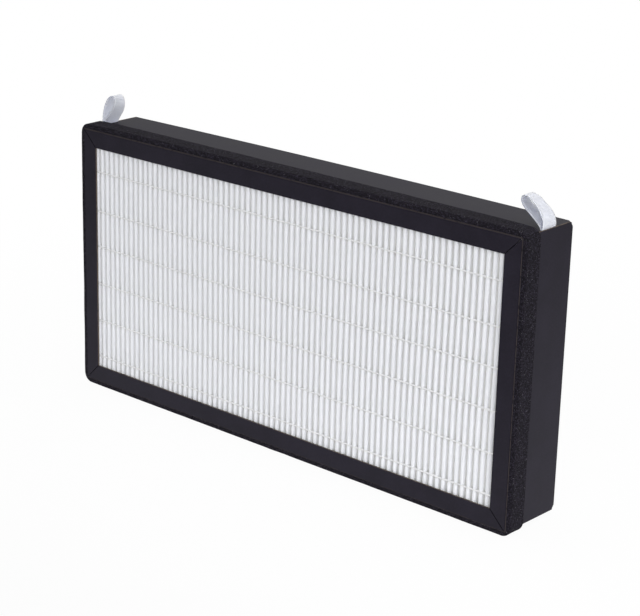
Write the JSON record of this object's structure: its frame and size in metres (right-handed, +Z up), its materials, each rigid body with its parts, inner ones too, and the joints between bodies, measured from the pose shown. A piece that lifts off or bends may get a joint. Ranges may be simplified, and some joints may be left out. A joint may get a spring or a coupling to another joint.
{
  "type": "pleated air filter",
  "caption": "Rectangular pleated air filter: white fine-pleated media in a black mitred board frame, with a foam seal round its edge and ribbon pull loops.",
  "frame": {"origin": "under the middle of the filter, on the surface that it stands on, level with the underside of the foam seal", "axes": "+X along the filter's length, -Y out of the face that the foam seal lies next to, +Z up towards the ribbon pulls"},
  "size_m": [0.2952, 0.0396, 0.1619],
  "materials": {
    "coated_board": "matt black coated board with pale cut edges",
    "black_foam": "fine open-cell foam",
    "satin_ribbon": "white woven ribbon with a soft sheen",
    "filter_sheet": "soft white non-woven",
    "hot_melt_glue": "set hot-melt glue, milky"
  },
  "bodies": {
    "root": {"top_rail": "coated_board", "bottom_rail": "coated_board", "left_rail": "coated_board", "right_rail": "coated_board", "foam_seal_tape": "black_foam", "left_pull_ribbon": "satin_ribbon", "right_pull_ribbon": "satin_ribbon", "pleated_media": "filter_sheet", "top_potting": "hot_melt_glue", "bottom_potting": "hot_melt_glue", "left_end_glue": "hot_melt_glue", "right_end_glue": "hot_melt_glue", "front_glue_thread_1": "hot_melt_glue", "rear_glue_thread_1": "hot_melt_glue", "front_glue_thread_2": "hot_melt_glue", "rear_glue_thread_2": "hot_melt_glue", "front_glue_thread_3": "hot_melt_glue", "rear_glue_thread_3": "hot_melt_glue", "front_glue_thread_4": "hot_melt_glue", "rear_glue_thread_4": "hot_melt_glue", "front_glue_thread_5": "hot_melt_glue", "rear_glue_thread_5": "hot_melt_glue", "front_glue_thread_6": "hot_melt_glue", "rear_glue_thread_6": "hot_melt_glue"}
  },
  "joints": []
}
